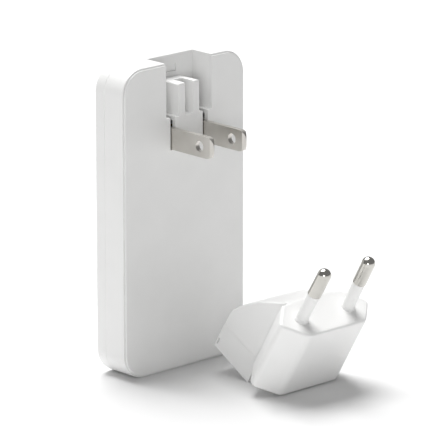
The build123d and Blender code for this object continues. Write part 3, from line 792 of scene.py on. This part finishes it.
    def build_rear_cover(self) -> None:
        """Builds the rear cover with the tongue that fills the notch round the post."""
        seat, inner, bottom = self.seat, self.tongue_inner, self.tongue_bottom
        plate_y, root = (seat - self.rear_plate, seat), seat - 2 * BITE
        inset = self.block_wall + self.cover_play
        cover = Blank(self.hexagon(self.wall + self.cover_play, plate_y))
        cover.join(block(self.across(self.block_half - inset), plate_y, (self.hex_middle, self.top - inset)),
                   block(self.across(self.tongue_half), (root, inner), (bottom, self.top)))
        cover.cut(block(self.across(self.post_half), (seat, inner + PAST), (bottom - PAST, self.post_top)))
        cover.join(block(self.across(self.rib_half), (root, seat + self.rib_depth),
                         (bottom, self.post_top + 2 * BITE)))
        latch_width, latch_height, latch_z, latch_rise = self.latch
        cover.join(slab(rectangle(self.across(latch_width / 2), about(latch_z, latch_height)),
                        (inner - BITE, inner + latch_rise)))
        width, near, far = self.pocket
        start, end, drop, slit_height, slit_width = self.slit
        slit_z = about(self.top - drop, slit_height)
        for sign in SIDES.values():
            pocket_x = about(self.centre + sign * self.blade_spacing / 2, width)
            side = self.centre + sign * self.tongue_half
            cover.cut(block(pocket_x, (near, far), (bottom - PAST, self.pocket_top)),
                      block(pocket_x, (plate_y[0] - PAST, near + BITE), self.pocket_mouth),
                      block(about(side, slit_width), (seat + start, seat + end), slit_z))
        cover.finish("adapter_tongue_cover", "adapter", ["adapter_rear_cover"], "white_adapter", 0.22,
                     self.laid())

    def build(self) -> None:
        """Builds the adapter's outside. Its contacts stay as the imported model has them."""
        self.build_shell()
        self.build_cap()
        self.build_pins()
        self.build_rear_cover()


# ---------------------------------------------------------------- casing

@dataclass
class Casing:
    """Front cover, band and back plate of the charger, with the notch that takes the plug adapter."""

    half_width: float = 23.8
    height: float = 92.0
    corner: float = 7.6
    front: float = 6.3
    back: float = -6.3
    seam: float = 2.0
    cover_inside: float = 4.8
    plate_inside: float = -4.9
    rim: float = -5.8
    rim_width: float = 0.45
    wall: float = 1.6
    edge: float = 1.0
    seam_edge: float = 0.18
    rim_edge: float = 0.3
    plate_edge: float = 0.42
    gap: float = 0.05
    # thickness and depth of the lip between the band and the cover
    lap: tuple[float, float] = (0.7, 0.9)
    # middle, width and floor height
    notch: tuple[float, float, float] = (1.63, 17.9, 75.75)
    notch_wall: float = 1.2
    # what stays solid of the pad behind the notch: its plate and its upper rim
    pad_plate: float = 1.5
    pad_rim: float = 3.2
    # width, height, depth and middle height of the pit for the adapter's latch
    recess: tuple[float, float, float, float] = (5.2, 2.3, 0.5, 87.9)
    # width and top height
    post: tuple[float, float] = (7.9, 85.35)
    fin: float = 2.3
    channel: float = 4.8
    channel_edge: float = 0.35
    post_edge: float = 0.6
    blade_spacing: float = 12.7
    # width, lower end and inner depth of a prong's slot
    slot: tuple[float, float, float] = (2.0, 66.175, 1.275)
    pivot: tuple[float, float] = (-2.15, 69.6)
    # distance from the middle, length, height and bore radius of an axle bearing
    bearing: tuple[float, float, float, float] = (7.6, 1.8, 6.0, 1.65)
    # radius and end depth of a stud, and where the studs stand
    stud: tuple[float, float] = (1.6, 2.5)
    stud_x: float = 19.2
    stud_z: tuple[float, float] = (18.4, 60.525)
    # the two rails that the board rests on
    rail_x: Limits = (20.6, 22.25)
    rail_y: Limits = (0.3, 1.3)
    rail_z: Limits = (20.4, 62.525)
    # middle, width, height and corner radius of each port's opening
    ports: tuple[tuple[float, float, float, float], ...] = ((-8.0, 13.3, 5.9, 0.6), (8.5, 9.14, 3.46, 1.72))
    port_depth: float = -1.55

    def outline(self, inset: float, y: Limits) -> Shape:
        """The casing's outline, drawn in, between two depths."""
        x, z = (-self.half_width + inset, self.half_width - inset), (inset, self.height - inset)
        return slab(rectangle(x, z), y, corner=self.corner - inset, segments=24)

    def build_cover(self) -> None:
        """Builds the front tray with the pad that closes the notch and the studs that hold the board."""
        tray = round_edges(self.outline(0, (self.seam, self.front)), self.edge, lies_at(1, self.front), 8)
        cover = Blank(round_edges(tray, self.seam_edge, lies_at(1, self.seam), 3))
        lip, lip_depth = self.lap
        start = self.seam - PAST
        cover.cut(self.outline(self.wall, (start, self.cover_inside)),
                  self.outline(self.wall - lip - self.gap, (start, self.seam + lip_depth + self.gap)))
        middle, width, floor = self.notch
        low = floor - self.notch_wall
        cover.join(block(about(middle, width + 2 * self.notch_wall), (self.seam, self.cover_inside + BITE),
                         (low, self.height - self.wall / 2)))
        wide, tall, deep, z = self.recess
        cover.cut(block(about(middle, width), (self.seam + self.pad_plate, self.cover_inside),
                        (low - PAST, self.height - self.pad_rim)),
                  block(about(middle, wide), (start, self.seam + deep), about(z, tall)))
        radius, board_back = self.stud
        for sign in SIDES.values():
            for stud_z in self.stud_z:
                stud = round_bar(radius, (board_back, self.cover_inside + 2 * BITE), 32)
                foot = Matrix.Translation((sign * self.stud_x, 0, stud_z))
                cover.join(placed(stud, foot @ Matrix.Rotation(-pi / 2, 4, "X")))
        cover.finish("casing_front_cover", "charger", ["front_cover"], "white_casing", 0.1)

    def build_band(self) -> None:
        """Builds the band with the notch's side walls, the locating lip and the port openings."""
        outer = round_edges(self.outline(0, (self.rim, self.seam)), self.seam_edge, lies_at(1, self.seam), 3)
        band = Blank(round_edges(outer, self.rim_edge, lies_at(1, self.rim), 4))
        band.cut(self.outline(self.wall, (self.plate_inside, self.seam + PAST)),
                 self.outline(self.rim_width, (self.rim - PAST, self.plate_inside + 0.01)))
        middle, width, floor = self.notch
        walls = width + 2 * self.notch_wall
        low, above = floor - self.notch_wall, self.height + PAST
        lip_y = (self.seam - PAST, self.front)
        lip = Blank(self.outline(self.wall - self.lap[0], (self.seam - 0.5, self.seam + self.lap[1])))
        lip.cut(self.outline(self.wall, lip_y),
                block(about(middle, walls + 2 * self.gap), lip_y, (floor, above)))
        band.join(block(about(middle, walls), (self.plate_inside, self.seam),
                        (low, self.height - self.wall / 2)))
        band.merge(lip)
        band.cut(block(about(middle, width), (self.back - PAST, self.seam + PAST), (low - PAST, above)))
        for sign in SIDES.values():
            band.join(block(between(*(sign * x for x in self.rail_x)), self.rail_y, self.rail_z))
        for centre, wide, tall, corner in self.ports:
            band.cut(upright(rectangle(about(centre, wide), about(self.port_depth, tall)),
                             (-PAST, self.wall + self.gap), corner))
        band.finish("casing_band", "charger", ["mid_frame"], "white_casing", 0.14)

    def make_post(self) -> Blank:
        """Makes the post on the notch's floor, with its rounded head and the channel down its back."""
        middle, _, floor = self.notch
        wide, top = self.post
        inner, deep = self.seam - self.gap, self.back + self.channel
        post = block(about(middle, wide), (self.back, inner), (floor - self.notch_wall, top))
        round_edges(post, self.post_edge,
                    lambda edge: lies_at(2, top)(edge) and not lies_at(1, inner)(edge), 6)
        sides = about(middle, wide - 2 * self.fin)
        channel = block(sides, (self.back - PAST, deep), (floor, top + PAST))
        ends = [lies_at(0, sides[0]), lies_at(0, sides[1]), lies_at(2, floor)]
        round_edges(channel, self.channel_edge,
                    lambda edge: lies_at(1, deep)(edge) and any(lies(edge) for lies in ends), 4)
        return Blank(post).cut(channel)

    def build_plate(self) -> None:
        """Builds the back plate with the notch floor, the channelled post and the slots for the prongs."""
        sheet = self.outline(self.rim_width + self.gap, (self.back, self.plate_inside))
        plate = Blank(round_edges(sheet, self.plate_edge, lies_at(1, self.back), 5))
        middle, width, floor = self.notch
        plate.cut(block(about(middle, width), (self.back - PAST, self.plate_inside + PAST),
                        (floor, self.height + PAST)))
        plate.join(block(about(middle, width - 2 * self.gap), (self.back + 0.4, self.seam - self.gap),
                         (floor - self.notch_wall, floor)))
        plate.merge(self.make_post())
        slot_width, slot_low, slot_deep = self.slot
        pivot_y, pivot_z = self.pivot
        near, long, tall, bore = self.bearing
        for sign in SIDES.values():
            slot_x = about(middle + sign * self.blade_spacing / 2, slot_width)
            plate.cut(block(slot_x, (self.back - PAST, slot_deep), (slot_low, floor + 0.01)))
            bearing_x = between(middle + sign * near, middle + sign * (near + long))
            plate.join(block(bearing_x, (self.plate_inside - BITE, pivot_y), about(pivot_z, tall)))
        plate.cut(rod(bore, about(middle, 24), pivot_y, pivot_z))
        plate.finish("casing_back_plate", "charger", ["back_plate"], "white_plate", 0.16)

    def build(self) -> None:
        """Builds the three mouldings."""
        self.build_cover()
        self.build_band()
        self.build_plate()


# ---------------------------------------------------------------- folding prongs

@dataclass
class Prongs:
    """Two flat prongs on one moulded axle, drawn standing out of the back."""

    middle: float = 1.63
    spacing: float = 12.7
    width: float = 6.35
    thickness: float = 1.5
    pivot: tuple[float, float] = (-2.15, 69.6)
    tip: float = -23.5
    tip_round: float = 2.7
    # how much the tip's bevel takes off each face, and over what length
    bevel: tuple[float, float] = (0.6, 1.0)
    # depth and radius
    hole: tuple[float, float] = (-18.2, 1.6)
    hub: float = 3.175
    key: float = 2.2
    barrel: float = 2.3
    axle: float = 1.6
    collar: float = 0.4
    side_play: float = 0.1
    bearing: float = 1.8
    flat: float = 0.25

    def side(self, x: float) -> list[Place]:
        """The outline of a blade in a plane across X, with its round tip."""
        pivot_y, pivot_z = self.pivot
        low, high = about(pivot_z, self.width)
        tip = rounded_corners([(self.tip, low), (self.tip, high)], [self.tip_round, self.tip_round],
                              (pivot_y, low), (pivot_y, high), 10)
        return [(x, py, pz) for py, pz in [(pivot_y, low), *tip, (pivot_y, high)]]

    def build_blade(self, side: str, sign: int) -> None:
        """Builds one blade: stamped strip with a bevelled round tip, its hole and its hub.

        Args:
            side: left or right.
            sign: the side's sign along X.
        """
        centre = self.middle + sign * self.spacing / 2
        low, high = about(centre, self.thickness)
        step, pull = self.bevel
        shape = bmesh.new()
        blade = Blank(lofted(shape, [ring_of(shape, self.side(x)) for x in (low, high)]))
        pivot_y, pivot_z = self.pivot
        for face, way in ((low, 1), (high, -1)):
            corner = [(face, self.tip + pull), (face + way * step, self.tip),
                      (face + way * step, self.tip - PAST), (face - way, self.tip - PAST),
                      (face - way, self.tip + pull)]
            blade.cut(upright(corner, about(pivot_z, 2 * self.width)))
        blade.join(rod(self.hub, (low, high), pivot_y, pivot_z))
        hole_y, hole_radius = self.hole
        through = (low - PAST, high + PAST)
        blade.cut(rod(hole_radius, through, hole_y, pivot_z),
                  block(through, about(pivot_y, self.key), about(pivot_z, self.key)))
        blade.finish(f"flat_prong_{side}", "prongs", [f"prong_blade_{side}"], "nickel_blade", 0.1)

    def build_carrier(self) -> None:
        """Builds the moulded axle: barrel with two detent flats, square keys, collars and stubs."""
        pivot_y, pivot_z = self.pivot
        inner = self.spacing / 2 - self.thickness / 2
        outer = inner + self.thickness
        end = outer + self.collar + self.side_play + self.bearing
        line = [(0, -end), (self.axle - 0.2, -end), (self.axle, -end + 0.2),
                (self.axle, -outer - self.collar),
                (self.barrel, -outer - self.collar), (self.barrel, -outer), (self.key / 2, -outer),
                (self.key / 2, -inner), (self.barrel, -inner)]
        place = Matrix.Translation((self.middle, pivot_y, pivot_z)) @ Matrix.Rotation(pi / 2, 4, "Y")
        carrier = Blank(placed(turned(line + [(radius, -x) for radius, x in reversed(line)]), place))
        key_x = about(self.middle, 2 * outer - 0.01)
        carrier.join(block(key_x, about(pivot_y, self.key), about(pivot_z, self.key)))
        flat, long = self.barrel - self.flat, about(self.middle, inner)
        carrier.cut(block(long, (pivot_y + flat, pivot_y + 3), about(pivot_z, 6)),
                    block(long, about(pivot_y, 6), (pivot_z + flat, pivot_z + 3)))
        carrier.finish("prong_axle", "prongs", ["prong_carrier"], "black_moulding", 0.08)

    def build(self) -> None:
        """Builds both blades and their axle."""
        for side, sign in SIDES.items():
            self.build_blade(side, sign)
        self.build_carrier()


# ---------------------------------------------------------------- ports

@dataclass
class Ports:
    """The type A and type C sockets in the bottom edge."""

    middle: float = -1.55
    mouth: float = 0.3
    sheet: float = 0.3
    # middle, width, height and length of a shell
    type_a: tuple[float, float, float, float] = (-8.0, 13.1, 5.7, 14.0)
    type_c: tuple[float, float, float, float] = (8.5, 8.94, 3.26, 7.35)
    # width, length, slit and distance from the mouth of a spring leaf
    type_a_leaf: tuple[float, float, float, float] = (2.0, 6.0, 0.55, 1.8)
    type_a_seam: float = 0.12
    # width and length
    type_c_leg: tuple[float, float] = (0.6, 1.0)
    board: float = 1.3

    def tube(self, centre: float, size: tuple[float, float], corner: float, z: Limits) -> Shape:
        """A bar along Z of a rounded section, at the ports' depth."""
        return upright(rectangle(about(centre, size[0]), about(self.middle, size[1])), z, corner)

    def build_type_a_shell(self) -> None:
        """Builds the folded steel box with its four spring leaves and the seam of the fold."""
        centre, width, height, length = self.type_a
        z = (self.mouth, self.mouth + length)
        shell = Blank(self.tube(centre, (width, height), 0.5, z))
        shell.cut(self.tube(centre, (width - 2 * self.sheet, height - 2 * self.sheet), 0.25,
                            (z[0] - PAST, z[1] - self.sheet)))
        leaf_width, leaf_length, slit, start = self.type_a_leaf
        low = z[0] + start
        high = low + leaf_length
        for sign in SIDES.values():
            at = centre + sign * width / 4.2
            for face in (-1, 1):
                y = about(self.middle + face * height / 2, 4 * self.sheet)
                around = Blank(block(about(at, leaf_width + slit), y, (low, high)))
                leaf_z = (low + slit, high + PAST)
                around.cut(block(about(at, leaf_width), (y[0] - PAST, y[1] + PAST), leaf_z))
                shell.subtract(around)
        face_y = self.middle - height / 2
        shell.cut(block(about(centre, self.type_a_seam), (face_y - BITE, face_y + self.type_a_seam),
                        (z[0] - PAST, z[1] + PAST)))
        shell.finish("type_a_shell", "charger", ["usb_a_shell"], "port_steel", 0.05)

    def build_type_c_shell(self) -> None:
        """Builds the drawn oval shell with its four legs."""
        centre, width, height, length = self.type_c
        z = (self.mouth, self.mouth + length)
        shell = Blank(self.tube(centre, (width, height), height / 2 - 0.02, z))
        bore = (width - 2 * self.sheet, height - 2 * self.sheet)
        shell.cut(self.tube(centre, bore, bore[1] / 2 - 0.02, (z[0] - PAST, z[1] - self.sheet)))
        leg_width, leg_length = self.type_c_leg
        for sign in SIDES.values():
            for leg_z in (z[0] + 2.9, z[1] - leg_length):
                shell.join(block(about(centre + sign * (width / 2 - 1.3), leg_width),
                                 (self.middle + height / 2 - BITE, self.board), about(leg_z, leg_length)))
        shell.finish("type_c_shell", "charger", ["usb_c_shell"], "port_steel", 0.05)

    def build(self) -> None:
        """Builds both shells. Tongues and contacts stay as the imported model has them."""
        self.build_type_a_shell()
        self.build_type_c_shell()


# ---------------------------------------------------------------- board parts

@dataclass
class Board:
    """The cans, the choke's windings and the chips on the board, which a plain solid doesn't show well."""

    # by node: middle along X and Y, bung end, vent end and radius of each can
    cans: dict[str, tuple[tuple[float, float, float, float, float], ...]] = field(default_factory=lambda: {
        "input_capacitors": ((18.4, -1.55, 25.4, 45.4, 2.85), (12.2, -1.55, 25.4, 45.4, 2.85),
                             (6.0, -1.55, 25.4, 45.4, 2.85)),
        "output_capacitors": ((-18.4, -1.4, 5.9, 14.9, 2.7), (18.4, -1.4, 5.9, 14.9, 2.7))})
    # height, half width and depth of the crimped groove
    crimp: tuple[float, float, float] = (1.9, 0.7, 0.35)
    can_edge: float = 0.3
    bung: float = 0.5
    choke: tuple[float, float, float] = (-15.4, -1.3, 56.525)
    # bore radius, outer radius and length
    choke_ring: tuple[float, float, float] = (1.9, 4.2, 4.0)
    wire: float = 0.28
    turns: int = 5
    board_face: float = 1.3
    # width, thickness and reach of a lead
    lead: tuple[float, float, float] = (0.4, 0.15, 0.55)
    stand_off: float = 0.12
    package_edge: float = 0.12
    # radius, depth and distance from the corner of the first-pin mark
    dimple: tuple[float, float, float] = (0.35, 0.1, 0.8)
    # by node: sides, outer face, ends and leads on a side of each package
    packages: dict[str, tuple[tuple[Limits, float, Limits, int], ...]] = field(default_factory=lambda: {
        "power_transistors": (((0.3, 5.5), -1.0, (17.8, 24.2), 4), ((7.3, 12.5), -1.0, (17.8, 24.2), 4)),
        "controller_chips": (((-14.1, -9.1), -0.2, (19.0, 23.0), 5), ((14.6, 18.6), 0.1, (19.0, 23.0), 5)),
        "optocoupler": (((-6.9, -2.3), -0.9, (18.4, 23.6), 2),),
        "bridge_rectifier": (((-7.5, -1.5), -0.9, (47.525, 54.525), 2),)})
    pitch: float = radians(15)

    def can(self, x: float, y: float, low: float, high: float, radius: float) -> Shape:
        """One drawn can with its crimp over the rubber bung and the sleeve folded over both ends.

        Args:
            x: its middle along X.
            y: its middle along Y.
            low: its bung end.
            high: its vent end.
            radius: its radius.

        Returns:
            The closed shape.
        """
        at, half, deep = self.crimp
        groove = [(radius - deep * (1 + cos(t)) / 2, low + at + half * t / pi)
                  for t in [pi * i / 6 for i in range(-6, 7)]]
        ends = [(radius - self.can_edge * (1 - sin(t)), high - self.can_edge * (1 - cos(t)))
                for t in [pi / 2 * (1 - i / 4) for i in range(5)]]
        line = [(0, low + self.bung), (radius * 0.72, low + self.bung), (radius * 0.76, low + 0.15),
                (radius * 0.86, low), (radius - 0.15, low), (radius, low + 0.2), *groove, *ends,
                (radius * 0.8, high), (radius * 0.76, high - 0.25), (0, high - 0.25)]
        return placed(turned(line), Matrix.Translation((x, y, 0)))

    def build_cans(self) -> None:
        """Builds the two groups of electrolytic capacitors."""
        for node, places in self.cans.items():
            first, *rest = (self.can(*place) for place in places)
            Blank(first).join(*rest).finish(f"{node}_cans", "charger", [node], "can_sleeve", 0.0)

    def turn_of_wire(self, angle: float) -> Shape:
        """One turn of wire round the choke's ring.

        Args:
            angle: where on the ring it lies, from +X.

        Returns:
            The closed shape.
        """
        bore, outer, length = self.choke_ring
        near, far, deep = bore - self.wire, outer + self.wire, length / 2 + self.wire
        corners = [(near, -deep), (far, -deep), (far, deep), (near, deep)]
        path = rounded_corners(corners, [0.45] * 4, corners[-1], corners[0], 4)
        middle = Vector(((near + far) / 2, 0))
        shape = bmesh.new()
        reaches = [(self.wire * cos(t), self.wire * sin(t)) for t in [2 * pi * i / 8 for i in range(8)]]
        rings = []
        for radial, along in path:
            out = (Vector((radial, along)) - middle).normalized()
            ring = [(radial + side * out.x, along + side * out.y, up) for side, up in reaches]
            rings.append(ring_of(shape, ring))
        for one, two in zip(rings, rings[1:] + rings[:1]):
            bmesh.ops.bridge_loops(shape, edges=one + two)
        bmesh.ops.recalc_face_normals(shape, faces=shape.faces)
        return placed(shape, Matrix.Translation(self.choke) @ Matrix.Rotation(angle, 4, "Y"))

    def build_choke(self) -> None:
        """Builds the choke's two windings, turn beside turn."""
        spread = [self.pitch * (i - (self.turns - 1) / 2) for i in range(self.turns)]
        turns = [self.turn_of_wire(start + angle) for start in (0.0, pi) for angle in spread]
        Blank(together(*turns)).finish("choke_turns", "charger", ["emi_choke_winding"], "copper_wire", 0.0)

    def package(self, x: Limits, low: float, z: Limits) -> Blank:
        """One moulded body between its sides, its outer face and its ends, with its first-pin dimple."""
        radius, deep, inset = self.dimple
        body = block(x, (low, self.board_face - self.stand_off), z)
        round_edges(body, self.package_edge, lies_at(1, low), 2)
        corner = Matrix.Translation((x[0] + inset, low, z[0] + inset)) @ Matrix.Rotation(pi / 2, 4, "X")
        return Blank(body).cut(placed(round_bar(radius, (-deep, deep), 24), corner))

    def leads_of(self, x: Limits, low: float, z: Limits, pins: int) -> list[Shape]:
        """The bent leads of one package: out of its side, down to the board and along it.

        Args:
            x: the package's sides.
            low: its outer face.
            z: its ends.
            pins: leads on a side.

        Returns:
            Three blocks for each lead.
        """
        wide, thick, reach = self.lead
        waist, face = (low + self.board_face) / 2, self.board_face
        leads = []
        for end, sign in zip(x, SIDES.values()):
            outer = end + sign * (reach - thick)
            for i in range(pins):
                lead_z = about(z[0] + (z[1] - z[0]) * (i + 0.5) / pins, wide)
                leads += [block(between(end - sign * BITE, outer), about(waist, thick), lead_z),
                          block(between(outer - sign * thick, outer), (waist, face), lead_z),
                          block(between(outer, end + sign * reach), (face - thick, face), lead_z)]
        return leads

    def build_chips(self) -> None:
        """Builds the moulded packages and the leads that carry them."""
        leads = []
        for node, places in self.packages.items():
            first, *rest = [self.package(x, low, z) for x, low, z, _ in places]
            for other in rest:
                first.merge(other)
            first.finish(f"{node}_packages", "charger", [node], "chip_black", 0.0)
            for place in places:
                leads += self.leads_of(*place)
        Blank(together(*leads)).finish("chip_leads", "charger", [], "port_steel", 0.0)

    def build(self) -> None:
        """Builds the cans, the choke's windings and the chips."""
        self.build_cans()
        self.build_choke()
        self.build_chips()


# ---------------------------------------------------------------- studio

@dataclass
class Lamp:
    """A soft rectangular lamp aimed at the object, in metres."""

    name: str
    place: Place
    size: tuple[float, float]
    power: float
    aim: Place = (0.0, -0.02, 0.03)

    def hang(self) -> None:
        """Hangs the lamp in the scene."""
        light = bpy.data.lights.new(self.name, "AREA")
        light.shape = "RECTANGLE"
        light.size, light.size_y = self.size
        light.energy = self.power
        lamp = bpy.data.objects.new(self.name, light)
        bpy.context.scene.collection.objects.link(lamp)
        lamp.location = self.place
        lamp.rotation_euler = (Vector(self.aim) - Vector(self.place)).to_track_quat("-Z", "Y").to_euler()


@dataclass
class Studio:
    """Pale floor, even room light, soft lamps overhead and the camera."""

    floor_half: float = 3.0
    floor_colour: str = "#f0f0f0"
    room_strength: float = 0.23
    azimuth: float = 43.35
    elevation: float = 15.49
    distance: float = 1.2028
    aim: Place = (0.02138, 0.0, 0.0378)
    lens: float = 327.46
    sensor: float = 36.0
    lamps: list[Lamp] = field(default_factory=lambda: [
        Lamp("key_lamp", (0.1, 0.5, 1.3), (1.0, 1.0), 26.0),
        Lamp("fill_lamp", (-1.0, -0.9, 0.2), (0.5, 0.4), 3.0),
    ])

    def lay_floor(self) -> None:
        """Lays the floor, one flat sheet of matt paper."""
        shape = bmesh.new()
        bmesh.ops.create_grid(shape, x_segments=1, y_segments=1, size=self.floor_half)
        mesh = bpy.data.meshes.new("floor")
        shape.to_mesh(mesh)
        shape.free()
        floor = bpy.data.objects.new("floor", mesh)
        bpy.context.scene.collection.objects.link(floor)
        paper = Finish("matt_white_paper", self.floor_colour, self.floor_colour, Surface.MOULDED,
                       1.5, 0.0, 0.9, ior=1.3)
        dress(floor, paper)

    def light_room(self) -> None:
        """Fills the room with even light and hangs the lamps."""
        world = bpy.data.worlds.new("room")
        world.use_nodes = True
        background = world.node_tree.nodes["Background"]
        background.inputs["Color"].default_value = linear("#ffffff")
        background.inputs["Strength"].default_value = self.room_strength
        bpy.context.scene.world = world
        for lamp in self.lamps:
            lamp.hang()

    def set_camera(self) -> None:
        """Stands the camera behind and left of the charger, a little above it."""
        data = bpy.data.cameras.new("camera")
        data.sensor_width = self.sensor
        data.lens = self.lens
        camera = bpy.data.objects.new("camera", data)
        bpy.context.scene.collection.objects.link(camera)
        az, el = radians(self.azimuth), radians(self.elevation)
        back = Vector((-sin(az) * cos(el), -cos(az) * cos(el), sin(el)))
        camera.location = Vector(self.aim) + back * self.distance
        camera.rotation_euler = (-back).to_track_quat("-Z", "Y").to_euler()
        bpy.context.scene.camera = camera

    def build(self) -> None:
        """Sets up the whole studio."""
        self.lay_floor()
        self.light_room()
        self.set_camera()
        bpy.context.scene.view_settings.view_transform = "Standard"


def main() -> None:
    """Builds and dresses every sub-assembly, then the studio."""
    logging.basicConfig(level=logging.INFO, format="%(message)s")
    dress_frame()
    for part in (Casing(), Prongs(), Ports(), Board(), PlugAdapter()):
        part.build()
    Studio().build()


if __name__ == "__main__":
    main()
